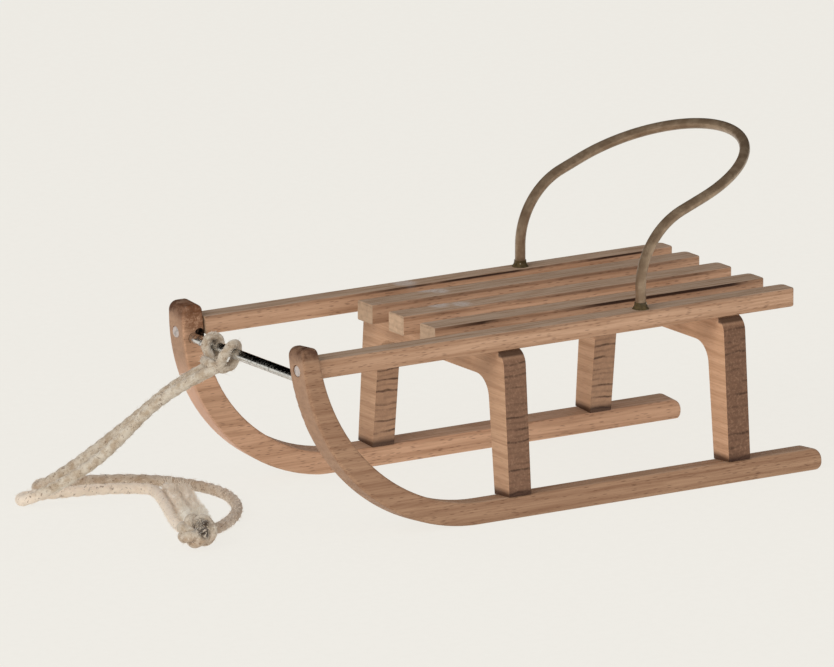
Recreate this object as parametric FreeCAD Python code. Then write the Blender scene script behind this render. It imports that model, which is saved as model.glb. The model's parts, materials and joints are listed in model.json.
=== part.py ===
# Miniature two-bridge beech sled with curved runners, a wire push handle and a
# knotted pull cord.  Millimetres.  +X is the way the sled travels, +Y is its left
# side, +Z is up.  The runners stand on Z = 0 and X = 0 is half way along them.
import FreeCAD
import Part
import math
import os
from FreeCAD import Vector

os.makedirs("parts", exist_ok=True)

# ---- runners: one sawn board each, leaning in at the top ----
RUN_HALF = 74.48          # half of the overall length
RUN_W = 6.7               # board thickness across the sled
RUN_H = 5.5               # depth of the straight part
RUN_EASE = 0.8            # sanded edges of the board
RUN_OUT = 34.4            # outer edge of the sole
LEAN = math.radians(4.6)  # lean of runners and bridge legs
SOLE_R = 48.4             # outer radius of the upswept nose
NOSE_R = (45.4, 44.3)     # left, right: inner radius of the nose, sawn by hand
TIP_Z = 49.2              # top of the nose, along the leaning board
NOSE_FOOT_X = (72.84, 71.7)  # left, right: where the front face would meet the floor
HEEL_FOOT_X = (61.60, 62.5)  # left, right: where the nose's rear face would meet the straight part
TIP_FRONT_X = 74.52
HEEL_R = (1.9, 3.1)       # rounded lower and upper corner of the rear end
TIP_REAR_X = (70.03, 68.67)  # left, right: the right nose is sawn a little thicker

# ---- bridges ----
BRIDGE_T = 6.3
BRIDGE_X = (17.42, -46.78)   # front faces
DECK_Z = 40.8                # top of the bridges, underside of rails and slats
BEAM_Z = 33.6                # underside of the beam
LEG_IN_FOOT = 27.4
LEG_IN_TOP = 24.2
SHOULDER_R = 3.8
ARCH_R = 5.6

# ---- deck ----
RAIL_Y = (23.8, 29.4)
RAIL_TOP = 45.4
RAIL_REAR = -69.33
NOSE_GAP = 0.2               # open joint between a rail and its nose
SLAT_W = 6.7
SLAT_PITCH = 14.0
SLAT_X = (-68.63, 28.12)
SLAT_TOP = 45.6
EASE = 0.35                  # sanded arris
CORNER_R = 1.3               # rounded rear corners

# ---- pull bar, nails ----
BAR_X = 70.92
BAR_Z = 40.3
BAR_R = 1.3
BAR_HALF = 26.8
BORE_R = 1.5                 # the right nose is bored oversize, up and back of the bar
BORE_BACK = 1.7
BORE_UP = 0.8
BORE_DEPTH = 2.0
NAIL_Y = 27.65
NAIL_Z = (43.2, 41.6)        # left, right
NAIL_R = 0.6
NAIL_HEAD_R = 1.45
NAIL_HEAD_T = 0.8
NAIL_SEAT_X = 73.3
NAIL_TIP_X = 60.0
GAP = 0.05                   # play around pins, nails and wire ends

# ---- handle hoop: one bent wire ----
WIRE_R = 1.3
HOOP_X = -25.43
HOOP_HALF = 26.65
HOOP_FOOT_Z = 42.2
HOOP_KNEE_Z = 63.7
HOOP_RISE = math.radians(21.4)
HOOP_BEND_R = 19.0
HOOP_ARM = 19.2              # from the knee to where the round end begins
COLLAR_R = 2.1
COLLAR_H = 1.6

# ---- hidden pins ----
PIN_R = 0.75
DOWEL_R = 1.25

# ---- pull cord ----
CORD_R = 1.4
KNOT_C = Vector(95.8, 16.9, 4.5)
KNOT_R = 4.45
HITCH_Y = (-15.6, -4.9)
HITCH_CORD_R = 1.15          # the cord is pulled thin round the bar
HITCH_R = BAR_R + HITCH_CORD_R + 0.05


def save(node, shape):
    solids = shape.Solids
    body = solids[0] if len(solids) == 1 else Part.makeCompound(solids)
    body.exportStep("parts/%s.step" % node)
    print("%-20s solids %d  volume %.1f mm3  valid %s" % (node, len(solids), body.Volume, body.isValid()))


def rounded(points, radii, closed):
    """Straight runs joined by tangent arcs; a radius of 0 leaves a sharp corner."""
    n = len(points)
    runs = []
    for i, p in enumerate(points):
        if radii[i] == 0 or (not closed and i in (0, n - 1)):
            runs.append((p, None, p))
            continue
        back = (points[i - 1] - p).normalize()
        ahead = (points[(i + 1) % n] - p).normalize()
        half = back.getAngle(ahead) / 2.0
        cut = radii[i] / math.tan(half)
        to_mid = radii[i] / math.sin(half) - radii[i]
        mid = p + (back + ahead).normalize() * to_mid
        runs.append((p + back * cut, mid, p + ahead * cut))
    edges = []
    for i in range(n):
        start, mid, end = runs[i]
        if mid is not None:
            edges.append(Part.Arc(start, mid, end).toShape())
        if closed or i < n - 1:
            following = runs[(i + 1) % n][0]
            if end.distanceToPoint(following) > 1e-6:
                edges.append(Part.LineSegment(end, following).toShape())
    return Part.Wire(edges)


def board(outline, along, closed=True):
    """A flat board: its rounded outline pushed along one direction."""
    points = [p for p, r in outline]
    radii = [r for p, r in outline]
    return Part.Face(rounded(points, radii, closed)).extrude(along)


def mirrored(shape):
    return shape.mirror(Vector(0, 0, 0), Vector(0, 1, 0))


def rod(start, end, radius):
    run = end - start
    return Part.makeCylinder(radius, run.Length, start, run)


def tube(wire, radius):
    """Round section carried along a path that starts in its first edge's direction."""
    edge = wire.OrderedEdges[0]
    start = wire.OrderedVertexes[0].Point
    along = edge.tangentAt(edge.FirstParameter)
    ring = Part.Wire([Part.Circle(start, along, radius).toShape()])
    return wire.makePipeShell([ring], True, False)


# ---------------------------------------------------------------- runners
def lean_line(dy, dz):
    """Point of the leaning board, measured from the outer edge of its sole."""
    y = RUN_OUT + dy * math.cos(LEAN) - dz * math.sin(LEAN)
    z = dy * math.sin(LEAN) + dz * math.cos(LEAN)
    return y, z


def nose_rear(side, z):
    """X of the nose's rear face at height z."""
    along = (z / math.cos(LEAN) - RUN_H) / (TIP_Z - RUN_H)
    return HEEL_FOOT_X[side] + along * (TIP_REAR_X[side] - HEEL_FOOT_X[side])


def runner(side):
    """A runner, drawn in the left one's place; side is 0 for the left and 1 for the right."""
    nail_z = NAIL_Z[side]
    outline = [
        (Vector(-RUN_HALF, 0, 0), HEEL_R[0]),
        (Vector(NOSE_FOOT_X[side], 0, 0), SOLE_R),
        (Vector(TIP_FRONT_X, 0, TIP_Z), 2.2),
        (Vector(TIP_REAR_X[side], 0, TIP_Z), 1.9),
        (Vector(HEEL_FOOT_X[side], 0, RUN_H), NOSE_R[side]),
        (Vector(-RUN_HALF, 0, RUN_H), HEEL_R[1]),
    ]
    solid = board(outline, Vector(0, -RUN_W, 0))
    solid = solid.makeFillet(RUN_EASE, [e for e in solid.Edges if e.BoundBox.YLength < 0.01])
    solid.rotate(Vector(0, 0, 0), Vector(1, 0, 0), math.degrees(LEAN))
    solid.translate(Vector(0, RUN_OUT, 0))
    # the sole is planed level, so the board stands flat although it leans
    plane_off = Part.makeBox(4 * RUN_HALF, 4 * RUN_W, 5, Vector(-2 * RUN_HALF, RUN_OUT - 2 * RUN_W, -5))
    solid = solid.cut(plane_off)
    bar_hole = rod(Vector(BAR_X, 0, BAR_Z), Vector(BAR_X, BAR_HALF + GAP, BAR_Z), BAR_R + GAP)
    nail_hole = rod(Vector(NAIL_TIP_X, NAIL_Y, nail_z), Vector(80, NAIL_Y, nail_z), NAIL_R + GAP)
    head_seat = rod(Vector(NAIL_SEAT_X, NAIL_Y, nail_z), Vector(80, NAIL_Y, nail_z), NAIL_HEAD_R + GAP)
    for hole in (bar_hole, nail_hole, head_seat):
        solid = solid.cut(hole)
    for dowel in leg_dowels(GAP):
        solid = solid.cut(dowel)
    return solid


def oversize_bore():
    """Start of the bar's bore where the drill wandered, on the nose's inner face."""
    x, z = BAR_X - BORE_BACK, BAR_Z + BORE_UP
    inner_y = RUN_OUT - RUN_W - z * math.tan(LEAN)
    return rod(Vector(x, 0, z), Vector(x, inner_y + BORE_DEPTH, z), BORE_R)


# ---------------------------------------------------------------- bridges
def bridge(front_x):
    """Beam and two splayed legs sawn from one plank, with a round-cornered arch."""
    out_top = RUN_OUT - DECK_Z * math.tan(LEAN)
    foot_out_y, foot_out_z = lean_line(0, RUN_H)
    foot_in_z = foot_out_z - (foot_out_y - LEG_IN_FOOT) * math.tan(LEAN)
    half = [
        (out_top, DECK_Z, SHOULDER_R),
        (foot_out_y, foot_out_z, 0),
        (LEG_IN_FOOT, foot_in_z, 0),
        (LEG_IN_TOP, BEAM_Z, ARCH_R),
    ]
    outline = [(Vector(front_x, y, z), r) for y, z, r in half]
    outline += [(Vector(front_x, -y, z), r) for y, z, r in reversed(half)]
    solid = board(outline, Vector(-BRIDGE_T, 0, 0))
    for pin in leg_dowels(GAP) + deck_pins(GAP):
        solid = solid.cut(pin)
        solid = solid.cut(mirrored(pin))
    return solid


def leg_dowels(play):
    """Round pegs that tie the left legs to the left runner, one per leg."""
    pegs = []
    for front_x in BRIDGE_X:
        x = front_x - BRIDGE_T / 2
        low_y, low_z = lean_line(-RUN_W / 2, RUN_H - 3.6 - play)
        top_y, top_z = lean_line(-RUN_W / 2, RUN_H + 7.0 + play)
        pegs.append(rod(Vector(x, low_y, low_z), Vector(x, top_y, top_z), DOWEL_R + play))
    return pegs


def deck_pins(play):
    """Headless pins from the bridges up into the left rail, left slat and middle slat."""
    pins = []
    for front_x in BRIDGE_X:
        x = front_x - BRIDGE_T / 2
        for y in ((RAIL_Y[0] + RAIL_Y[1]) / 2, SLAT_PITCH, 0):
            pins.append(rod(Vector(x, y, DECK_Z - 4 - play), Vector(x, y, DECK_Z + 3 + play), PIN_R + play))
    return pins


# ---------------------------------------------------------------- deck
def rail(side):
    """A side rail, drawn in the left one's place; its end follows the slope of the nose."""
    nail_z = NAIL_Z[side]
    end_low = nose_rear(side, DECK_Z) - NOSE_GAP
    end_top = nose_rear(side, RAIL_TOP) - NOSE_GAP
    outline = [
        (Vector(RAIL_REAR, RAIL_Y[0], DECK_Z), 0),
        (Vector(end_low, RAIL_Y[0], DECK_Z), 0),
        (Vector(end_top, RAIL_Y[0], RAIL_TOP), 0),
        (Vector(RAIL_REAR, RAIL_Y[0], RAIL_TOP), 0),
    ]
    solid = board(outline, Vector(0, RAIL_Y[1] - RAIL_Y[0], 0))
    rear = [e for e in solid.Edges if e.BoundBox.XMax < RAIL_REAR + 0.1 and e.BoundBox.ZLength > 1]
    solid = solid.makeFillet(CORNER_R, rear)
    long_edges = [e for e in solid.Edges if e.BoundBox.XLength > 50]
    solid = solid.makeFillet(EASE, long_edges)
    nail = rod(Vector(NAIL_TIP_X - 1, NAIL_Y, nail_z), Vector(75, NAIL_Y, nail_z), NAIL_R + GAP)
    foot = rod(Vector(HOOP_X, HOOP_HALF, HOOP_FOOT_Z - GAP), Vector(HOOP_X, HOOP_HALF, 50), WIRE_R + GAP)
    solid = solid.cut(nail).cut(foot)
    for pin in deck_pins(GAP):
        solid = solid.cut(pin)
    return solid


def slat(y):
    size = (SLAT_X[1] - SLAT_X[0], SLAT_W, SLAT_TOP - DECK_Z)
    solid = Part.makeBox(*size, Vector(SLAT_X[0], y - SLAT_W / 2, DECK_Z))
    upright = [e for e in solid.Edges if e.BoundBox.ZLength > 1 and e.BoundBox.XMax < 0]
    solid = solid.makeFillet(CORNER_R, upright)
    long_edges = [e for e in solid.Edges if e.BoundBox.XLength > 50]
    solid = solid.makeFillet(EASE, long_edges)
    for pin in deck_pins(GAP):
        solid = solid.cut(pin).cut(mirrored(pin))
    return solid


# ---------------------------------------------------------------- metalwork
def pull_bar():
    bar = rod(Vector(BAR_X, -BAR_HALF, BAR_Z), Vector(BAR_X, BAR_HALF, BAR_Z), BAR_R)
    return bar.makeChamfer(0.2, [e for e in bar.Edges if e.Curve.TypeId == "Part::GeomCircle"])


def rail_nail(z):
    shank = rod(Vector(NAIL_TIP_X + 1.6, NAIL_Y, z), Vector(NAIL_SEAT_X + 0.2, NAIL_Y, z), NAIL_R)
    point = Part.makeCone(0.05, NAIL_R, 1.6, Vector(NAIL_TIP_X, NAIL_Y, z), Vector(1, 0, 0))
    face_x = NAIL_SEAT_X + NAIL_HEAD_T
    head = rod(Vector(NAIL_SEAT_X, NAIL_Y, z), Vector(face_x, NAIL_Y, z), NAIL_HEAD_R)
    rim = [e for e in head.Edges if abs(e.BoundBox.XMin - face_x) < 0.01]
    head = head.makeFillet(0.4, rim)
    return shank.fuse(point).fuse(head)


def handle_hoop():
    """Legs stand up out of the rails, sweep rearward and close in a half circle."""
    slope = Vector(-math.cos(HOOP_RISE), 0, math.sin(HOOP_RISE))
    foot = Vector(HOOP_X, HOOP_HALF, HOOP_FOOT_Z)
    knee = Vector(HOOP_X, HOOP_HALF, HOOP_KNEE_Z)
    shoulder = knee + slope * HOOP_ARM
    leg = rounded([foot, knee, shoulder], [0, HOOP_BEND_R, 0], False)
    other = rounded([Vector(p.x, -p.y, p.z) for p in (shoulder, knee, foot)], [0, HOOP_BEND_R, 0], False)
    top = Vector(shoulder.x, 0, shoulder.z) + slope * HOOP_HALF
    end = Part.Arc(shoulder, top, Vector(shoulder.x, -shoulder.y, shoulder.z)).toShape()
    return tube(Part.Wire(leg.Edges + [end] + other.Edges), WIRE_R)


def hoop_collar():
    """Flared fillet of dark cement where the wire enters the rail."""
    bore = WIRE_R + GAP
    lip = bore + 0.15
    foot = Vector(COLLAR_R, 0, 0)
    waist = Vector(bore + 0.35, 0, 0.6)
    brim = Vector(lip, 0, COLLAR_H)
    profile = Part.Wire([
        Part.LineSegment(Vector(bore, 0, 0), foot).toShape(),
        Part.Arc(foot, waist, brim).toShape(),
        Part.LineSegment(brim, Vector(bore, 0, COLLAR_H)).toShape(),
        Part.LineSegment(Vector(bore, 0, COLLAR_H), Vector(bore, 0, 0)).toShape(),
    ])
    ring = Part.Face(profile).revolve(Vector(0, 0, 0), Vector(0, 0, 1), 360)
    ring.translate(Vector(HOOP_X, HOOP_HALF, RAIL_TOP))
    return ring


# ---------------------------------------------------------------- pull cord
# Route points.  The cord hangs doubled from the bar, folds back where it meets the
# floor, and its two ends come together in the knot.
STRAND_REAR = [
    (72.9, -12.0, 36.8), (78.5, -19.6, 31.4), (84.4, -27.4, 22.4), (90.5, -35.4, 13.9),
    (95.8, -42.2, 7.0), (101.3, -48.6, 1.45), (98.0, -53.0, 1.45), (89.4, -50.5, 1.45),
    (77.2, -44.7, 1.45), (70.2, -37.9, 1.45), (66.0, -29.4, 1.45), (64.6, -20.4, 1.45),
    (67.3, -10.6, 1.45), (72.2, -2.6, 1.45), (78.6, 4.0, 1.45), (86.4, 9.4, 1.6),
    (93.4, 14.6, 3.4),
]
STRAND_FRONT = [
    (73.7, -8.2, 36.8), (80.1, -14.0, 32.2), (86.3, -19.5, 26.0), (91.9, -24.3, 17.9),
    (96.6, -28.2, 11.9), (103.4, -33.7, 5.9), (111.0, -39.2, 1.45), (108.4, -44.3, 1.45),
    (98.9, -42.6, 1.45), (89.2, -40.6, 1.45), (81.7, -37.2, 1.45), (77.0, -33.0, 1.45),
    (79.7, -25.7, 1.45), (83.9, -15.7, 1.45), (88.7, -5.0, 1.45), (92.2, 4.6, 1.6),
    (94.9, 14.0, 3.4),
]
TAIL_REAR = [
    (92.6, 14.6, 6.0), (85.8, 2.6, 3.8), (79.8, -10.0, 2.0), (74.6, -22.0, 1.5),
    (71.6, -28.4, 1.5),
]
TAIL_FRONT = [
    (95.2, 13.0, 6.0), (88.6, 0.8, 3.8), (82.3, -11.8, 1.9), (77.0, -24.6, 1.5),
    (74.0, -31.0, 1.5),
]


def cord(name, points, body):
    """Round cord along a route, cut off where it enters the knot or hitch."""
    path = [Vector(*p) for p in points]
    radii = [0]
    for before, here, after in zip(path, path[1:], path[2:]):
        turn = math.pi - (before - here).getAngle(after - here)
        shorter = min(here.distanceToPoint(before), here.distanceToPoint(after))
        radii.append(0.45 * shorter / math.tan(turn / 2))
    radii.append(0)
    wire = rounded(path, radii, False)
    solid = tube(wire, CORD_R)
    expected = math.pi * CORD_R ** 2 * wire.Length
    print(name, "length %.1f  smallest radius %.2f" % (wire.Length, min(radii[1:-1])))
    print("   radii", " ".join("%.1f" % r for r in radii[1:-1]))
    print("   volume ratio %.4f" % (solid.Volume / expected))
    for other in body:
        solid = solid.cut(other)
    return solid


def end_knot():
    return Part.makeSphere(KNOT_R, KNOT_C)


def bar_hitch():
    """Two turns round the pull bar, joined by the loop that crosses in front."""
    axis = Vector(0, 1, 0)
    turns = [Part.makeTorus(HITCH_R, HITCH_CORD_R, Vector(BAR_X, y, BAR_Z), axis) for y in HITCH_Y]
    x, z = BAR_X + 3.1, BAR_Z - 2.0
    cross = rod(Vector(x, HITCH_Y[0], z), Vector(x, HITCH_Y[1], z), HITCH_CORD_R)
    balls = [Part.makeSphere(HITCH_CORD_R, Vector(x, y, z)) for y in HITCH_Y]
    solid = turns[0].fuse([turns[1], cross] + balls)
    return solid.removeSplitter()


save("runner_left", runner(0))
save("runner_right", mirrored(runner(1).cut(oversize_bore())))
save("bridge_front", bridge(BRIDGE_X[0]))
save("bridge_rear", bridge(BRIDGE_X[1]))
save("side_rail_left", rail(0))
save("side_rail_right", mirrored(rail(1)))
for node, y in (("left", SLAT_PITCH), ("middle", 0), ("right", -SLAT_PITCH)):
    save("seat_slat_" + node, slat(y))
save("pull_bar", pull_bar())
save("rail_nail_left", rail_nail(NAIL_Z[0]))
save("rail_nail_right", mirrored(rail_nail(NAIL_Z[1])))
save("handle_hoop", handle_hoop())
collar = hoop_collar()
save("hoop_collar_left", collar)
save("hoop_collar_right", mirrored(collar))
pegs = leg_dowels(0)
save("leg_dowels", Part.makeCompound(pegs + [mirrored(p) for p in pegs]))
pins = deck_pins(0)
outer = [p for p in pins if p.BoundBox.Center.y > 1]
save("deck_pins", Part.makeCompound(pins + [mirrored(p) for p in outer]))
knot = end_knot()
hitch = bar_hitch()
save("cord_end_knot", knot)
save("cord_hitch", hitch)
save("cord_strand_rear", cord("strand rear", STRAND_REAR, (knot, hitch)))
save("cord_strand_front", cord("strand front", STRAND_FRONT, (knot, hitch)))
save("cord_tail_rear", cord("tail rear", TAIL_REAR, (knot,)))
save("cord_tail_front", cord("tail front", TAIL_FRONT, (knot,)))
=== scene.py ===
import json
import math
import random

import bpy
from mathutils import Matrix, Vector

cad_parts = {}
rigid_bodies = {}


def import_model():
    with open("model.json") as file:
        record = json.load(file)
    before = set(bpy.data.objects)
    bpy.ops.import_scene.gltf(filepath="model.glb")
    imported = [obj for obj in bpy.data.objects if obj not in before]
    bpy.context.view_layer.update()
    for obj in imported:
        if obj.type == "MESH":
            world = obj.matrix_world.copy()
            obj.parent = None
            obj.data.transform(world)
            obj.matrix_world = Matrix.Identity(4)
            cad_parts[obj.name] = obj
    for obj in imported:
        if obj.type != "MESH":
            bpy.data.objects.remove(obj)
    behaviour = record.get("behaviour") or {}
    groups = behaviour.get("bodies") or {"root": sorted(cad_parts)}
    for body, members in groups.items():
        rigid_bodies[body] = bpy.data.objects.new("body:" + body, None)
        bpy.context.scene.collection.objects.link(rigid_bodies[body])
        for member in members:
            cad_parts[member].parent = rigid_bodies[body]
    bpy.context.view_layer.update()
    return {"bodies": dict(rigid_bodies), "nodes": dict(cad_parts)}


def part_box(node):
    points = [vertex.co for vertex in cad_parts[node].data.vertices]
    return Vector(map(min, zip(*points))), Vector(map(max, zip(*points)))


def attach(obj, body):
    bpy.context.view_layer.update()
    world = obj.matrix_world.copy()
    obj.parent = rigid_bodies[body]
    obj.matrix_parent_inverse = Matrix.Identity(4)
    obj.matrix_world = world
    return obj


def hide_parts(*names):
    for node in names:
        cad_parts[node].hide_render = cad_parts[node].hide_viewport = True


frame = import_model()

# Miniature wooden sled: the frame's nodes in their materials, the pull cord, and a pale studio.
# +X is the way it slides, +Y its left, and the floor is at 0.

MM = 0.001
X, Y, Z = 0, 1, 2
BODY = list(frame["bodies"])[0]
NODES = frame["nodes"]
scene = bpy.context.scene


# ---------------------------------------------------------------- sizes from the frame, in millimetres
def low_mm(node, axis):
    """Least coordinate of a frame node along one axis."""
    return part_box(node)[0][axis] / MM


def high_mm(node, axis):
    """Greatest coordinate of a frame node along one axis."""
    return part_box(node)[1][axis] / MM


def centre_mm(node):
    """Middle of a frame node's box."""
    low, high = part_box(node)
    return (low + high) / 2 / MM


DECK_TOP = high_mm("seat_slat_middle", Z)
BRIDGE_TOP = high_mm("bridge_front", Z)
LEG_FOOT = low_mm("bridge_front", Z)
NOSE_TOP = high_mm("runner_right", Z)
RAIL_OUTER = high_mm("side_rail_left", Y)


# ---------------------------------------------------------------- camera, in metres
TARGET = Vector((15.27, -10.6, 36.9)) * MM
VIEW_AZIMUTH = math.radians(147.14)
VIEW_ELEVATION = math.radians(13.64)
DISTANCE = 2.919
FOCAL_LENGTH_MM = 516.0
SENSOR_WIDTH_MM = 36.0
CLIP_NEAR = 0.1
CLIP_FAR = 100


def direction(azimuth, elevation):
    """Unit vector from the object towards a viewer or lamp at that bearing."""
    flat = math.cos(elevation)
    return Vector((math.sin(azimuth) * flat, -math.cos(azimuth) * flat, math.sin(elevation)))


def make_camera():
    data = bpy.data.cameras.new("camera")
    data.lens = FOCAL_LENGTH_MM
    data.sensor_width = SENSOR_WIDTH_MM
    data.clip_start = CLIP_NEAR
    data.clip_end = CLIP_FAR
    camera = bpy.data.objects.new("camera", data)
    scene.collection.objects.link(camera)
    back = direction(VIEW_AZIMUTH, VIEW_ELEVATION)
    camera.location = TARGET + back * DISTANCE
    camera.rotation_euler = (-back).to_track_quat("-Z", "Y").to_euler()
    scene.camera = camera


# ---------------------------------------------------------------- node helpers
class Shader:
    """Small builder round one material's node tree."""

    def __init__(self, name):
        self.material = bpy.data.materials.new(name)
        self.material.use_nodes = True
        self.tree = self.material.node_tree
        self.bsdf = self.tree.nodes["Principled BSDF"]

    def put(self, socket, value):
        """Links a socket to a value's socket, or sets it to a plain value."""
        if isinstance(value, bpy.types.NodeSocket):
            self.tree.links.new(value, socket)
        else:
            socket.default_value = value

    def node(self, kind, **inputs):
        made = self.tree.nodes.new(kind)
        for key, value in inputs.items():
            self.put(made.inputs[key], value)
        return made

    def math(self, operation, *values):
        made = self.tree.nodes.new("ShaderNodeMath")
        made.operation = operation
        for socket, value in zip(made.inputs, values):
            self.put(socket, value)
        return made.outputs[0]

    def product(self, first, *others):
        result = first
        for factor in others:
            result = self.math("MULTIPLY", result, factor)
        return result

    def level(self, value, gain, base):
        """The value times a gain, plus a base."""
        return self.math("MULTIPLY_ADD", value, gain, base)

    def rest(self, value):
        """What is missing from the value to 1."""
        return self.math("SUBTRACT", 1.0, value)

    def mix(self, factor, a, b):
        made = self.tree.nodes.new("ShaderNodeMix")
        made.data_type = "RGBA"
        self.put(made.inputs["Factor"], factor)
        self.put(made.inputs[6], a)  # 6 and 7 are the sockets for two colours
        self.put(made.inputs[7], b)
        return made.outputs[2]

    def ramp(self, value, low, high):
        """0 below low, 1 above high, smooth between."""
        made = self.tree.nodes.new("ShaderNodeMapRange")
        made.interpolation_type = "SMOOTHSTEP"
        for socket, given in zip(made.inputs, (value, low, high)):
            self.put(socket, given)
        return made.outputs[0]

    def coords(self, scale, offset=(0, 0, 0)):
        """Object coordinates in millimetres, stretched and shifted."""
        texture = self.tree.nodes.new("ShaderNodeTexCoord")
        mapping = self.node("ShaderNodeMapping", Vector=texture.outputs["Object"])
        mapping.inputs["Scale"].default_value = [s / MM for s in scale]
        mapping.inputs["Location"].default_value = offset
        return mapping.outputs[0]

    def even(self, scale, offset=(0, 0, 0)):
        """Object coordinates stretched alike in all directions."""
        return self.coords((scale, scale, scale), offset)

    def place(self, axis):
        """Object coordinate along one axis, in millimetres."""
        return self.node("ShaderNodeSeparateXYZ", Vector=self.even(1)).outputs[axis]

    def noise(self, vector, detail=3.0, roughness=0.55, distortion=0.0):
        made = self.node("ShaderNodeTexNoise", Vector=vector, Scale=1.0, Detail=detail)
        made.inputs["Roughness"].default_value = roughness
        made.inputs["Distortion"].default_value = distortion
        return made.outputs[0]

    def spot(self, centre, radius):
        """1 near a place given in millimetres, fading to 0 at the radius."""
        away = self.tree.nodes.new("ShaderNodeVectorMath")
        away.operation = "DISTANCE"
        self.put(away.inputs[0], self.even(1))
        away.inputs[1].default_value = centre
        return self.rest(self.ramp(away.outputs["Value"], 0.4 * radius, radius))

    def finish(self, color, roughness, height, bump, depth):
        """Colour, roughness and a relief of that depth in millimetres; gives the material."""
        self.put(self.bsdf.inputs["Base Color"], color)
        self.put(self.bsdf.inputs["Roughness"], roughness)
        made = self.node("ShaderNodeBump", Height=height, Strength=bump)
        made.inputs["Distance"].default_value = depth * MM
        self.put(self.bsdf.inputs["Normal"], made.outputs[0])
        return self.material


def rgb(r, g, b):
    """Linear colour from 8-bit sRGB values."""
    def linear(v):
        v /= 255
        return v / 12.92 if v <= 0.04045 else ((v + 0.055) / 1.055) ** 2.4
    return (linear(r), linear(g), linear(b), 1.0)


def shade(color, tone):
    """8-bit sRGB values made lighter or darker, as a linear colour."""
    return rgb(*(value * tone for value in color))


# ---------------------------------------------------------------- wood
RING_SPACING = 3.25
FINE_RING_SPACING = 1.45

# Stretches, in millimetres, over which a mark comes in or fades out.
EDGE_GAP_SHADE_HEIGHTS = (DECK_TOP - 1.0, DECK_TOP - 0.6)
EDGE_GAP_SHADE_FADE_FRONT = (12, 30)
EDGE_GAP_SHADE_FADE_REAR = (-66, -58)
SHOULDER_HEIGHTS = (BRIDGE_TOP - 1.7, BRIDGE_TOP - 1.0)
SHOULDER_ASIDE = (RAIL_OUTER - 0.8, RAIL_OUTER - 0.2)
FOOT_HEIGHTS = (LEG_FOOT + 0.65, LEG_FOOT + 2.65)
CROWN_HEIGHTS = (NOSE_TOP - 4.4, NOSE_TOP - 1.4)
FLOOR_BOUNCE_HEIGHTS = (22, 38)
SIDES_MEET = (-22, 22)


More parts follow.
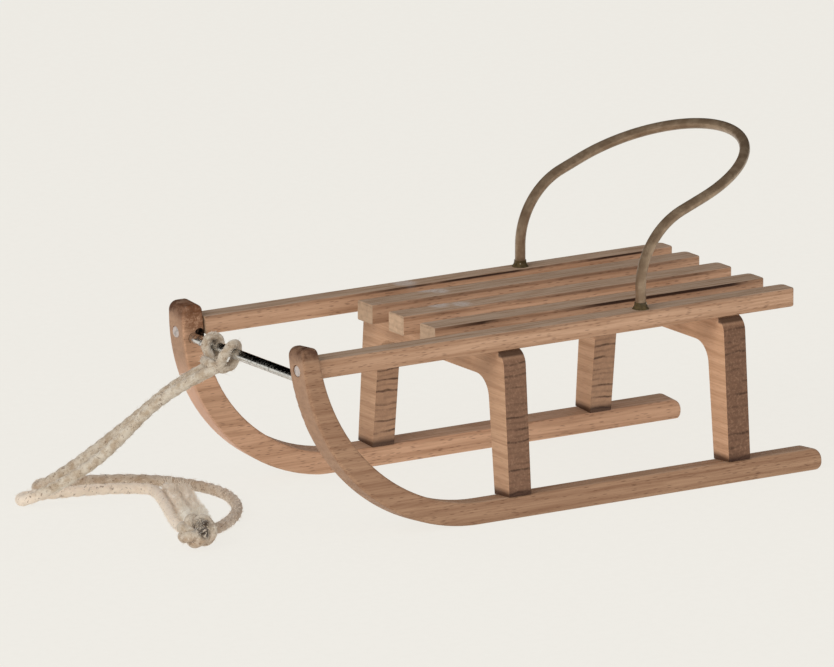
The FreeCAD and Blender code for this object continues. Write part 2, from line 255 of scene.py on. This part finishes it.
class Beech(Shader):
    """Raw sanded beech: growth bands, fine fibre streaks, short ray flecks, end grain.

    paint() sets the grain, and each method after it lays one kind of mark over that.
    Noise scales are per millimetre."""

    def __init__(self, name, grain, seed, wander=6.0):
        """grain: the axis it runs along. wander: how far its bands stray, in millimetres."""
        super().__init__(name)
        self.grain = grain
        self.shift = (seed * 7.3, seed * 3.1, seed * 5.7)
        normal = self.tree.nodes.new("ShaderNodeNewGeometry").outputs["Normal"]
        self.facing = self.node("ShaderNodeSeparateXYZ", Vector=normal).outputs
        self.end_grain = self.ramp(self.math("ABSOLUTE", self.facing[grain]), 0.6, 0.95)
        self.height = self.place(Z)
        stray = self.noise(self.lengthwise(0.012, 0.09), detail=3)
        self.layer = self.math("ADD", self.height, self.product(stray, wander))
        fibres = self.noise(self.lengthwise(0.07, 2.4), detail=4, roughness=0.6)
        self.streaks = self.ramp(fibres, 0.35, 0.7)
        self.pores = self.noise(self.even(1.6, self.shift), detail=4, roughness=0.7)
        clouds = self.noise(self.even(0.5, self.shift), detail=4, roughness=0.65)
        self.blotch = self.ramp(clouds, 0.35, 0.65)
        self.fleck = self.ray_flecks()

    def lengthwise(self, run, across):
        """Coordinates with one scale along the grain and another the other two ways."""
        scale = [across, across, across]
        scale[self.grain] = run
        return self.coords(scale, self.shift)

    def growth(self, spacing):
        """Wave that returns once per growth layer of this thickness."""
        return self.math("SINE", self.product(self.layer, 2 * math.pi / spacing))

    def ray_flecks(self):
        """Short spindles, present in some cells only."""
        cells = self.node("ShaderNodeTexVoronoi", Vector=self.lengthwise(0.34, 2.6), Scale=1.0)
        cells.inputs["Randomness"].default_value = 1.0
        chosen = self.node("ShaderNodeSeparateColor", Color=cells.outputs["Color"]).outputs[0]
        spindle = self.rest(self.ramp(cells.outputs["Distance"], 0.12, 0.36))
        return self.product(spindle, self.ramp(chosen, 0.15, 0.45))

    def left_to_right(self, left, right):
        """One colour on the sled's left side and another on its right."""
        return self.mix(self.ramp(self.place(Y), *SIDES_MEET), right, left)

    def rings(self, strength):
        """Growth rings on the end grain, uneven in strength."""
        coarse = self.ramp(self.growth(RING_SPACING), 0.1, 0.9)
        fine = self.ramp(self.growth(FINE_RING_SPACING), -0.1, 0.9)
        uneven = self.noise(self.coords((0.12, 0.5, 0.30), self.shift), detail=3, roughness=0.6)
        uneven = self.level(self.ramp(uneven, 0.34, 0.62), 0.85, 0.15)
        return self.product(fine, self.level(coarse, 0.65, 0.35), uneven, strength)

    def paint(self, light, dark, end, flecks=0.6, rings=0.2):
        """The grain itself: light and dark layers, end grain, and how strong flecks and rings are."""
        bands = self.ramp(self.growth(RING_SPACING), -0.2, 1.0)
        self.color = self.mix(self.level(bands, 0.40, self.product(self.streaks, 0.60)), light, dark)
        drift = self.ramp(self.noise(self.lengthwise(0.012, 0.10), detail=2), 0.35, 0.75)
        self.overlay(drift, self.mix(0.5, self.color, dark))
        self.overlay(self.product(self.fleck, self.rest(self.end_grain), flecks), rgb(92, 58, 38))
        across = self.mix(self.product(self.blotch, 0.5), end, self.mix(0.35, end, rgb(60, 38, 26)))
        across = self.mix(self.rings(rings), across, rgb(66, 42, 28))
        across = self.mix(self.ramp(self.pores, 0.45, 0.7), across, self.mix(0.2, across, light))
        self.overlay(self.end_grain, across)

    def overlay(self, amount, tint):
        self.color = self.mix(amount, self.color, tint)

    def dust(self, amount):
        """Greys the faces that look up."""
        veil = self.mix(self.ramp(self.streaks, 0.2, 0.8), rgb(180, 156, 134), rgb(152, 121, 95))
        self.overlay(self.product(self.ramp(self.facing[Z], 0.70, 0.95), amount), veil)

    def edge_gap_shade(self, amount):
        """Painted shade: dark patchy line in the gap under the upper left edge of a deck piece, fainter
        near its ends.
        """
        line = self.product(self.ramp(self.height, *EDGE_GAP_SHADE_HEIGHTS), self.ramp(self.facing[Y], 0.35, 0.75))
        patches = self.noise(self.coords((0.035, 0.2, 0.2), self.shift), detail=3)
        ahead = self.rest(self.product(self.ramp(self.place(X), *EDGE_GAP_SHADE_FADE_FRONT), 0.75))
        behind = self.level(self.ramp(self.place(X), *EDGE_GAP_SHADE_FADE_REAR), 0.85, 0.15)
        patchy = self.product(line, self.ramp(patches, 0.30, 0.52), ahead, behind)
        self.overlay(self.product(patchy, amount), rgb(44, 20, 10))

    def shoulder_shade(self, amount):
        """Painted shadow in the dark gap on top of the legs, outside the rails."""
        aside = self.ramp(self.math("ABSOLUTE", self.place(Y)), *SHOULDER_ASIDE)
        rail_gap_shade = self.product(self.ramp(self.height, *SHOULDER_HEIGHTS), aside)
        self.overlay(self.product(rail_gap_shade, amount), rgb(46, 22, 12))

    def foot_shade(self, amount):
        """Painted contact shade: dark line under the legs."""
        low = self.rest(self.ramp(self.height, *FOOT_HEIGHTS))
        self.overlay(self.product(low, amount), rgb(52, 26, 14))

    def crown(self, amount):
        """Dark tip of a nose."""
        tip = self.product(self.ramp(self.height, *CROWN_HEIGHTS), self.level(self.blotch, 0.45, 0.55))
        self.overlay(self.product(tip, amount), rgb(82, 52, 36))

    def floor_bounce_light(self, amount):
        """Painted floor bounce light: paler low on the faces that look forward."""
        ahead = self.product(self.ramp(self.facing[X], 0.25, 0.7), amount)
        low = self.rest(self.ramp(self.height, *FLOOR_BOUNCE_HEIGHTS))
        self.overlay(self.product(ahead, low), rgb(236, 190, 164))

    def mark(self, centre, radius, tint, amount):
        """One mark at a place given in millimetres: a stain, a pale patch, or painted shadow in a bore.
        """
        ragged = self.product(self.spot(centre, radius), self.ramp(self.pores, 0.30, 0.55))
        self.overlay(self.product(ragged, amount), tint)

    def done(self):
        self.bsdf.inputs["Specular IOR Level"].default_value = 0.3
        roughness = self.level(self.streaks, 0.14, 0.55)
        relief = self.level(self.fleck, -0.5, self.streaks)
        return self.finish(self.color, roughness, relief, 0.35, 0.06)


# ---------------------------------------------------------------- metal, cement
def bright_steel(name, tint, base_roughness, metallic=1.0):
    """Drawn steel: lengthwise draw lines and small dull spots."""
    s = Shader(name)
    lines = s.noise(s.coords((3.0, 0.15, 3.0)), detail=3)
    dull = s.ramp(s.noise(s.even(0.9), detail=4, roughness=0.65), 0.50, 0.62)
    s.bsdf.inputs["Metallic"].default_value = metallic
    color = s.mix(s.product(dull, 0.5), tint, rgb(150, 148, 144))
    return s.finish(color, s.level(dull, 0.35, base_roughness), lines, 0.15, 0.03)


def hoop_lacquer():
    """Bronze-brown lacquer over bent wire, slightly uneven, with rubbed places."""
    s = Shader("hoop_lacquer")
    runs = s.noise(s.even(0.35), detail=3)
    fine = s.noise(s.even(3.5), detail=4, roughness=0.7)
    rubbed = s.ramp(s.noise(s.even(0.22, (9, 4, 2)), detail=5, roughness=0.7), 0.6, 0.72)
    color = s.mix(s.ramp(runs, 0.35, 0.7), rgb(140, 116, 92), rgb(170, 146, 120))
    color = s.mix(s.product(rubbed, 0.4), color, rgb(190, 170, 146))
    s.bsdf.inputs["Metallic"].default_value = 0.5
    s.bsdf.inputs["Coat Weight"].default_value = 0.25
    s.bsdf.inputs["Coat Roughness"].default_value = 0.3
    return s.finish(color, s.level(fine, 0.2, 0.3), fine, 0.2, 0.04)


def hoop_cement():
    """Dark bronze cement with a few dried pale specks."""
    s = Shader("hoop_cement")
    cloud = s.noise(s.even(1.1), detail=4, roughness=0.6)
    specks = s.ramp(s.noise(s.even(0.8, (5, 1, 7)), detail=2), 0.66, 0.72)
    color = s.mix(s.ramp(cloud, 0.35, 0.65), rgb(70, 58, 36), rgb(96, 80, 50))
    color = s.mix(specks, color, rgb(214, 204, 184))
    s.bsdf.inputs["Specular IOR Level"].default_value = 0.4
    return s.finish(color, s.level(cloud, 0.2, 0.35), cloud, 0.5, 0.12)


# ---------------------------------------------------------------- cord fibre
LOW_HEIGHTS = (2.2, 5.5)
# Browner tint where the rear strand and the knot lie low.
LOW_BROWN = rgb(190, 152, 122)
# Painted light: the pale tint on the front strand and tails where they lie low stands in for light from
# the bright floor.
FLOOR_LIGHT_TINT = rgb(255, 236, 216)


def cord_fibre(name, light, mid, flecks, low_tint, low_amount, hollows=()):
    """Unbleached fibre: pale strands, tan patches, brown bark flecks.

    low_tint, low_amount: what colours the cord where it lies low, and how strongly.
    hollows: (centre, radius, strength) of the painted shade in the dark gaps between the turns of a knot."""
    s = Shader(name)
    patch = s.noise(s.even(0.42), detail=5, roughness=0.7)
    fuzz = s.noise(s.even(4.0), detail=5, roughness=0.75, distortion=1.5)
    specks = s.noise(s.even(1.1, (3, 8, 1)), detail=4, roughness=0.7)
    low = s.rest(s.ramp(s.place(Z), *LOW_HEIGHTS))
    color = s.mix(s.ramp(patch, 0.38, 0.62), light, mid)
    color = s.mix(s.product(low, low_amount), color, low_tint)
    color = s.mix(s.product(s.ramp(fuzz, 0.5, 0.72), 0.45), color, rgb(228, 218, 202))
    color = s.mix(s.product(s.ramp(specks, 0.56, 0.68), flecks), color, rgb(104, 74, 52))
    # painted shade in the gaps between the knot's turns
    for centre, radius, strength in hollows:
        ragged = s.product(s.spot(centre, radius), s.ramp(specks, 0.40, 0.49))
        color = s.mix(s.product(ragged, strength), color, rgb(40, 24, 14))
    s.bsdf.inputs["Sheen Weight"].default_value = 0.3
    s.bsdf.inputs["Sheen Roughness"].default_value = 0.5
    s.bsdf.inputs["Specular IOR Level"].default_value = 0.15
    return s.finish(color, s.level(fuzz, 0.15, 0.8), fuzz, 0.9, 0.16)


# ---------------------------------------------------------------- cord geometry, in millimetres
CORD_D = 2.8
HITCH_CORD_D = 2.5
TWIN_THICKNESS = 0.96
PLIES = 3
LAY_LENGTH = 9.5
LOBE_DEPTH = 0.19
LOBE_POWER = 0.8
YARNS = 11
YARN_DEPTH = 0.02
YARN_LAY = 2.3
FRAY_LENGTH = 16.0
FRAY_DEPTH = 0.22
FRAY_SPREAD = 0.35
TUBE_SIDES = 30
LINE_STEPS = 14
HAIR_RADIUS = 0.04
HAIR_ROOT = 0.82 * CORD_D / 2
TUFT_RADIUS = 0.05
CORD_LIFT = 0.06
HAIR_LIFT = 0.10
TUFT_LIFT = 0.15
TUFT_POINTS = 16
STRAND_HAIRS = 9
STRAND_HAIR_LENGTH = 1.5
TAIL_HAIRS = 34
TAIL_HAIR_LENGTH = 2.8
TUFT_FIBRES = 320
TUFT_LENGTH = 4.5
KNOT_POINTS = 25
KNOT_SHARE = 0.94
KNOT_SIZE = 1.08
KNOT_DEPTH = 1.25
KNOT_STRETCH = 1.18
KNOT_LIFT = 0.05
KNOT_TILT = math.radians(42)
KNOT_AXIS = Vector((-0.84, 0.54, 0.0))

STRAND_REAR = [
    (72.9, -12.0, 36.8), (78.5, -19.6, 31.4), (84.4, -27.4, 22.4), (90.5, -35.4, 13.9),
    (95.8, -42.2, 7.0), (101.3, -48.6, 1.45), (98.0, -53.0, 1.45), (89.4, -50.5, 1.45),
    (77.2, -44.7, 1.45), (70.2, -37.9, 1.45), (66.0, -29.4, 1.45), (64.6, -20.4, 1.45),
    (67.3, -10.6, 1.45), (72.2, -2.6, 1.45), (78.6, 4.0, 1.45), (86.4, 9.4, 1.6),
    (93.4, 14.6, 3.4),
]
STRAND_FRONT = [
    (73.7, -8.2, 36.8), (80.1, -14.0, 32.2), (86.3, -19.5, 26.0), (91.9, -24.3, 17.9),
    (96.6, -28.2, 11.9), (103.4, -33.7, 5.9), (111.0, -39.2, 1.45), (108.4, -44.3, 1.45),
    (98.9, -42.6, 1.45), (89.2, -40.6, 1.45), (81.7, -37.2, 1.45), (77.0, -33.0, 1.45),
    (79.7, -25.7, 1.45), (83.9, -15.7, 1.45), (88.7, -5.0, 1.45), (92.2, 4.6, 1.6),
    (94.9, 14.0, 3.4),
]
TAIL_REAR = [
    (92.6, 14.6, 6.0), (85.8, 2.6, 3.8), (79.8, -10.0, 2.0), (74.6, -22.0, 1.5),
    (71.6, -28.4, 1.5),
]
TAIL_FRONT = [
    (95.2, 13.0, 6.0), (88.6, 0.8, 3.8), (82.3, -11.8, 1.9), (77.0, -24.6, 1.5),
    (74.0, -31.0, 1.5),
]


def line_through(points):
    """Points in metres along the smooth line that has these control points in millimetres."""
    data = bpy.data.curves.new("line", "CURVE")
    data.dimensions = "3D"
    data.resolution_u = LINE_STEPS
    spline = data.splines.new("NURBS")
    spline.points.add(len(points) - 1)
    for at, p in zip(spline.points, points):
        at.co = (*(Vector(p) * MM), 1.0)
    spline.order_u = 3
    spline.use_endpoint_u = True
    holder = bpy.data.objects.new("line", data)
    scene.collection.objects.link(holder)
    bpy.context.view_layer.update()
    mesh = bpy.data.meshes.new_from_object(holder)
    found = [v.co.copy() for v in mesh.vertices]
    bpy.data.objects.remove(holder)
    bpy.data.meshes.remove(mesh)
    bpy.data.curves.remove(data)
    return found


def frames(line):
    """Two steady sideways directions at every point of a line, and the distance run to it."""
    sides = []
    runs = [0.0]
    side = None
    for i, p in enumerate(line):
        ahead = (line[min(i + 1, len(line) - 1)] - line[max(i - 1, 0)]).normalized()
        if side is None:
            side = ahead.orthogonal()
        side = (side - ahead * side.dot(ahead)).normalized()
        sides.append((side.copy(), ahead.cross(side)))
        if i:
            runs.append(runs[-1] + (p - line[i - 1]).length)
    return sides, runs


def length_of(line):
    """Distance run along a whole line."""
    return frames(line)[1][-1]


def new_piece(name, data, material):
    """An object of this mesh or curve, in the scene and with its material."""
    piece = bpy.data.objects.new(name, data)
    scene.collection.objects.link(piece)
    data.materials.append(material)
    return piece


def section(angle, twist, opened):
    """Radius of a laid cord at an angle, as a share of its full radius."""
    depth = LOBE_DEPTH + FRAY_DEPTH * opened
    lobe = abs(math.cos(PLIES / 2 * (angle - twist)))
    yarn = YARN_DEPTH * math.sin(YARNS * (angle + YARN_LAY * twist))
    return (1.0 - depth + depth * lobe ** LOBE_POWER + yarn) * (1.0 + FRAY_SPREAD * opened)


def tube_faces(rings, around):
    """Faces of a closed tube whose vertices run ring by ring."""
    faces = []
    for i in range(rings - 1):
        for k in range(around):
            a, b = i * around + k, i * around + (k + 1) % around
            faces.append((a, b, b + around, a + around))
    faces.append(tuple(reversed(range(around))))
    faces.append(tuple((rings - 1) * around + k for k in range(around)))
    return faces


def twine(name, line, material, fray=0.0, diameter=CORD_D):
    """Laid cord as one closed tube: the plies show as rounded lobes that wind along it.

    With fray above 0 the plies open and swell over that many last millimetres."""
    sides, runs = frames(line)
    verts = []
    for p, (u, v), run in zip(line, sides, runs):
        twist = 2 * math.pi * run / (LAY_LENGTH * MM)
        left = (runs[-1] - run) / MM
        opened = max(0.0, 1.0 - left / fray) if fray else 0.0
        for k in range(TUBE_SIDES):
            angle = 2 * math.pi * k / TUBE_SIDES
            radius = diameter / 2 * MM * section(angle, twist, opened)
            at = p + u * radius * math.cos(angle) + v * radius * math.sin(angle)
            at.z = max(at.z, CORD_LIFT * MM)
            verts.append(at)
    mesh = bpy.data.meshes.new(name)
    mesh.from_pydata(verts, [], tube_faces(len(line), TUBE_SIDES))
    for polygon in mesh.polygons:
        polygon.use_smooth = True
    return new_piece(name, mesh, material)


def fibre_curves(name, material, fibres, radius, tapers, lift):
    """Fine round fibres as one curve piece, kept just above the floor."""
    data = bpy.data.curves.new(name, "CURVE")
    data.dimensions = "3D"
    data.bevel_depth = radius * MM
    data.bevel_resolution = 0
    data.use_fill_caps = True
    for fibre in fibres:
        spline = data.splines.new("POLY")
        spline.points.add(len(fibre) - 1)
        for at, p, taper in zip(spline.points, fibre, tapers):
            at.co = (p.x, p.y, max(p.z, lift * MM), 1.0)
            at.radius = taper
    return new_piece(name, data, material)


def hairs(name, line, material, count, length, seed):
    """Loose fibres that lift off a cord."""
    rng = random.Random(seed)
    sides = frames(line)[0]
    fibres = []
    for _ in range(count):
        i = rng.randrange(len(line) - 1)
        u, v = sides[i]
        ahead = (line[i + 1] - line[i]).normalized()
        angle = rng.uniform(0, 2 * math.pi)
        out = u * math.cos(angle) + v * math.sin(angle)
        across = ahead.cross(out)
        size = rng.uniform(0.4, 1.0) * length * MM
        lean = rng.uniform(-0.9, 1.0)
        curl = rng.uniform(-0.6, 0.6)
        root = line[i] + out * HAIR_ROOT * MM
        middle = root + out * size * 0.35 + (ahead * lean + across * curl) * size * 0.4
        tip = middle + out * size * 0.15 + (ahead * lean - across * curl) * size * 0.45
        fibres.append((root, middle, tip))
    return fibre_curves(name, material, fibres, HAIR_RADIUS, (1.0, 0.8, 0.3), HAIR_LIFT)


def tuft(name, line, material, count, length, seed):
    """The brush of separate fibres at a frayed end."""
    rng = random.Random(seed)
    sides = frames(line)[0]
    ahead = (line[-1] - line[-6]).normalized()
    fibres = []
    for _ in range(count):
        i = len(line) - 1 - rng.randrange(0, TUFT_POINTS)
        u, v = sides[i]
        angle = rng.uniform(0, 2 * math.pi)
        out = u * math.cos(angle) + v * math.sin(angle)
        radius = rng.uniform(0.2, 1.0) * CORD_D / 2 * MM
        size = rng.uniform(0.5, 1.0) * length * MM
        spread = rng.uniform(0.1, 0.75)
        root = line[i] + out * radius
        middle = root + (ahead * 0.5 + out * spread * 0.3) * size
        tip = middle + (ahead * 0.45 + out * spread * 0.6) * size
        fibres.append((root, middle, tip))
    return fibre_curves(name, material, fibres, TUFT_RADIUS, (1.0, 0.9, 0.4), TUFT_LIFT)


# ---------------------------------------------------------------- pull cord
def hitch_line():
    """Loose lark's head: each end goes over the bar and down behind it, and the loop
    between them comes forward across the two hanging strands."""
    bar = centre_mm("pull_bar")
    middle = centre_mm("cord_hitch").y
    turns = [  # offset along the bar, bearing round it from the front upwards, distance off its axis
        (-4.0, -20, 2.5), (-4.9, 20, 2.45), (-5.4, 75, 2.4), (-5.4, 135, 2.4), (-5.2, 190, 2.4),
        (-5.0, 240, 2.5), (-5.0, 285, 3.1), (-4.4, 312, 4.2), (-2.2, 326, 4.9), (0.0, 326, 5.1),
        (1.9, 318, 5.0), (2.5, 298, 4.6), (2.2, 262, 3.8), (1.9, 225, 3.0), (2.0, 185, 2.5),
        (3.2, 130, 2.4), (4.8, 75, 2.4), (4.6, 20, 2.45), (3.4, -22, 3.0),
    ]
    points = [STRAND_REAR[0]]
    for along, bearing, out in turns:
        a = math.radians(bearing)
        points.append((bar.x + out * math.cos(a), middle + along, bar.z + out * math.sin(a)))
    points.append(STRAND_FRONT[0])
    return line_through(points)


def knot_line(turn):
    """One of the two cords of a tight overhand knot: most of a small trefoil, laid over."""
    centre = centre_mm("cord_end_knot")
    tilt = Matrix.Rotation(KNOT_TILT, 3, KNOT_AXIS) @ Matrix.Rotation(math.radians(turn), 3, "Z")
    widen = Matrix.Scale(KNOT_STRETCH, 3, KNOT_AXIS.normalized())
    points = []
    for i in range(KNOT_POINTS):
        t = 2 * math.pi * (i / (KNOT_POINTS - 1) * KNOT_SHARE + (1 - KNOT_SHARE) / 2)
        loop = Vector((
            math.sin(t) + 2 * math.sin(2 * t),
            math.cos(t) - 2 * math.cos(2 * t),
            -KNOT_DEPTH * math.sin(3 * t),
        ))
        points.append(centre + widen @ tilt @ (loop * KNOT_SIZE))
    lowest = min(p.z for p in points)
    lift = max(0.0, CORD_D / 2 + KNOT_LIFT - lowest)
    return line_through([p + Vector((0, 0, lift)) for p in points])


def declare_cord(piece, node, line, pieces):
    """Ties a stretch of cord and the pieces that go with it to the body, and hides the frame's node."""
    for each in [piece] + pieces:
        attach(each, BODY)
    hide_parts(node)
    length_of(line)


def make_strand(name, route, material, fuzz_material, extras, seed):
    """A long stretch of the cord, with the hitch or knot that goes with it as extras."""
    line = line_through(route)
    piece = twine(name, line, material)
    count = int(length_of(line) / MM * STRAND_HAIRS)
    fuzz = hairs(name + "_fuzz", line, fuzz_material, count, STRAND_HAIR_LENGTH, seed)
    declare_cord(piece, "cord_" + name, line, extras + [fuzz])


def make_tail(name, route, material, fuzz_seed, tuft_seed):
    """A frayed end of the cord."""
    line = line_through(route)
    piece = twine(name, line, material, FRAY_LENGTH)
    count = int(length_of(line) / MM * TAIL_HAIRS)
    fuzz = hairs(name + "_fuzz", line, material, count, TAIL_HAIR_LENGTH, fuzz_seed)
    brush = tuft(name + "_tuft", line, material, TUFT_FIBRES, TUFT_LENGTH, tuft_seed)
    declare_cord(piece, "cord_" + name, line, [fuzz, brush])


def make_cords():
    """The whole pull cord: hitch, two strands, knot and two tails."""
    knot_centre = centre_mm("cord_end_knot")
    hollows = (
        (knot_centre + Vector((0.6, 2.9, 3.0)), 3.7, 1.0),
        (knot_centre + Vector((0.1, 4.2, 0.5)), 2.3, 0.9),
    )
    fibre = cord_fibre("cord_fibre", rgb(210, 197, 179), rgb(176, 155, 131), 0.85, LOW_BROWN, 0.24, hollows)
    # the front strand's fibre, with painted floor light on its low parts
    floor_lit = cord_fibre("cord_fibre_washed", rgb(216, 204, 186), rgb(186, 166, 142), 0.75, FLOOR_LIGHT_TINT, 0.7)
    pale = cord_fibre("cord_fray", rgb(254, 248, 236), rgb(234, 219, 196), 0.55, FLOOR_LIGHT_TINT, 0.6)

    hitch = twine("hitch_turns", hitch_line(), fibre, diameter=HITCH_CORD_D)
    hitch_fuzz = hairs("hitch_fuzz", hitch_line(), pale, count=220, length=1.7, seed=5)
    knot = twine("overhand_knot", knot_line(95), fibre)
    knot_twin = twine("overhand_knot_twin", knot_line(35), fibre, diameter=CORD_D * TWIN_THICKNESS)
    knot_fuzz = hairs("knot_fuzz", knot_line(95), pale, count=320, length=2.0, seed=6)

    make_strand("strand_rear", STRAND_REAR, fibre, pale, [hitch, hitch_fuzz], seed=20)
    make_strand("strand_front", STRAND_FRONT, floor_lit, pale, [knot, knot_twin, knot_fuzz], seed=21)
    make_tail("tail_rear", TAIL_REAR, pale, fuzz_seed=22, tuft_seed=42)
    make_tail("tail_front", TAIL_FRONT, pale, fuzz_seed=23, tuft_seed=43)
    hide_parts("cord_hitch")
    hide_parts("cord_end_knot")


# ---------------------------------------------------------------- carried-over nodes
BRIDGE_EASE = 0.35
# Pale patches on some deck tops.
PALE_PATCH = rgb(200, 190, 184)
STAIN = rgb(112, 66, 34)
BORE_SHADOW = rgb(24, 11, 6)


def dress(node, material, ease=0.0):
    """Gives a frame node its material, and sands its edges with a small bevel."""
    piece = NODES[node]
    piece.data.materials.clear()
    piece.data.materials.append(material)
    if ease:
        bevel = piece.modifiers.new("ease", "BEVEL")
        bevel.width = ease * MM
        bevel.segments = 3
        bevel.limit_method = "ANGLE"
        bevel.angle_limit = math.radians(35)
        bevel.harden_normals = True


def dress_runners():
    left = Beech("beech_runner_left", X, 1)
    left.paint(rgb(182, 144, 114), rgb(142, 104, 78), rgb(172, 136, 110), rings=0.1)
    left.dust(0.55)
    left.crown(0.95)
    dress("runner_left", left.done())

    bar = centre_mm("pull_bar")
    bar_end = Vector((bar.x, low_mm("pull_bar", Y), bar.z))
    right = Beech("beech_runner_right", X, 2)
    right.paint(rgb(216, 172, 140), rgb(176, 134, 104), rgb(176, 140, 114), rings=0.1)
    right.dust(0.55)
    right.crown(0.95)
    # painted light from the bright floor on the runner's forward faces
    right.floor_bounce_light(0.75)
    right.mark((69.6, -24.6, 46.0), 6.5, STAIN, 0.75)
    right.mark(bar_end + Vector((-2.12, 1.2, 0.6)), 2.7, BORE_SHADOW, 0.97)
    right.mark(bar_end + Vector((-3.12, 1.5, 0.0)), 2.1, BORE_SHADOW, 0.95)
    dress("runner_right", right.done())


def dress_bridges():
    end_right = rgb(182, 143, 114)
    bridges = {  # light and dark layers, end grain of the left half
        "bridge_front": (rgb(206, 165, 132), rgb(176, 136, 106), rgb(134, 99, 77)),
        "bridge_rear": (rgb(214, 170, 136), rgb(184, 141, 108), rgb(124, 90, 69)),
    }
    for seed, (node, (light, dark, end_left)) in enumerate(bridges.items(), 4):
        beech = Beech("beech_" + node, Y, seed, wander=3.2)
        beech.paint(light, dark, beech.left_to_right(end_left, end_right), flecks=0.18, rings=0.85)
        # painted shadow where the rails overhang the legs
        beech.shoulder_shade(0.85)
        # painted contact shade where the legs stand on the runners
        beech.foot_shade(0.85)
        dress(node, beech.done(), BRIDGE_EASE)


def dress_deck():
    deck = {  # tone of the wood, tone of its end grain, painted shade line under the upper edge, pale patches (centre, radius)
        "side_rail_left": (0.98, 1.0, 0.30, ()),
        "side_rail_right": (1.0, 1.0, 0.95, (((8.4, -27.1, 45.4), 4.0),)),
        "seat_slat_left": (0.95, 0.93, 0.95, ()),
        "seat_slat_middle": (1.0, 1.0, 0.50, (((14.5, -2.5, 45.6), 3.6), ((9.0, -0.2, 45.6), 3.2))),
        "seat_slat_right": (0.95, 0.92, 0.40, (((8.6, -17.2, 45.6), 3.4), ((6.1, -14.5, 45.6), 3.0))),
    }
    for seed, (node, (tone, end_tone, edge_gap_shade, marks)) in enumerate(deck.items(), 8):
        light, dark = shade((210, 169, 138), tone), shade((169, 128, 98), tone)
        beech = Beech("beech_" + node, X, seed, wander=3.0)
        beech.paint(light, dark, shade((206, 174, 144), end_tone), rings=0.3)
        beech.dust(0.8)
        # painted shade in the gap under each piece's upper left edge
        beech.edge_gap_shade(edge_gap_shade)
        for centre, radius in marks:
            beech.mark(centre, radius, PALE_PATCH, 0.6)
        dress(node, beech.done())


def dress_small_parts():
    peg = Beech("beech_leg_dowels", X, 15)
    peg.paint(rgb(214, 180, 140), rgb(190, 150, 110), rgb(180, 140, 100))
    dress("leg_dowels", peg.done())
    dress("pull_bar", bright_steel("bar_steel", rgb(222, 222, 220), 0.22))
    nail = bright_steel("nail_steel", rgb(208, 196, 190), 0.6, 0.3)
    for node in ("rail_nail_left", "rail_nail_right", "deck_pins"):
        dress(node, nail)
    dress("handle_hoop", hoop_lacquer())
    cement = hoop_cement()
    for node in ("hoop_collar_left", "hoop_collar_right"):
        dress(node, cement)


# ---------------------------------------------------------------- floor and light, in metres
FLOOR_HALF = 14.0
LAMP_DISTANCE = 1.6
LAMP_SIZE = 1.0
LAMP_AIM = Vector((0, 0, 0.03))


def make_floor():
    """Back-lit paper: most of its brightness is its own, so shadows on it stay faint."""
    mesh = bpy.data.meshes.new("floor")
    corners = [(-1, -1, 0), (1, -1, 0), (1, 1, 0), (-1, 1, 0)]
    mesh.from_pydata([Vector(c) * FLOOR_HALF for c in corners], [], [(0, 1, 2, 3)])
    s = Shader("paper_floor")
    s.bsdf.inputs["Specular IOR Level"].default_value = 0.0
    grain = s.noise(s.even(0.4), detail=2)
    glow = s.mix(s.ramp(grain, 0.3, 0.7), rgb(239, 236, 229), rgb(238, 235, 228))
    s.put(s.bsdf.inputs["Emission Color"], glow)
    s.bsdf.inputs["Emission Strength"].default_value = 0.93
    s.finish(rgb(80, 79, 77), 0.9, grain, 0.02, 0.02)
    new_piece("floor", mesh, s.material)


def lamp(name, azimuth, elevation, watts, tint):
    """Round soft lamp at a bearing in degrees; it doesn't show in reflections."""
    data = bpy.data.lights.new(name, "AREA")
    data.shape = "DISK"
    data.size = LAMP_SIZE
    data.energy = watts
    data.color = tint
    light = bpy.data.objects.new(name, data)
    towards = direction(math.radians(azimuth), math.radians(elevation))
    light.location = LAMP_AIM + towards * LAMP_DISTANCE
    light.rotation_euler = (-towards).to_track_quat("-Z", "Y").to_euler()
    light.visible_glossy = False
    scene.collection.objects.link(light)


def make_light():
    world = bpy.data.worlds.new("studio")
    world.use_nodes = True
    background = world.node_tree.nodes["Background"]
    background.inputs["Color"].default_value = (0.96, 0.98, 1.0, 1.0)
    background.inputs["Strength"].default_value = 0.5
    world.cycles_visibility.glossy = False
    scene.world = world
    scene.view_settings.view_transform = "Standard"
    lamp("key", 108, 28, 11.0, (1.0, 0.98, 0.95))
    lamp("fill", 190, 24, 4.0, (1, 1, 1))


make_camera()
make_cords()
dress_runners()
dress_bridges()
dress_deck()
dress_small_parts()
make_floor()
make_light()
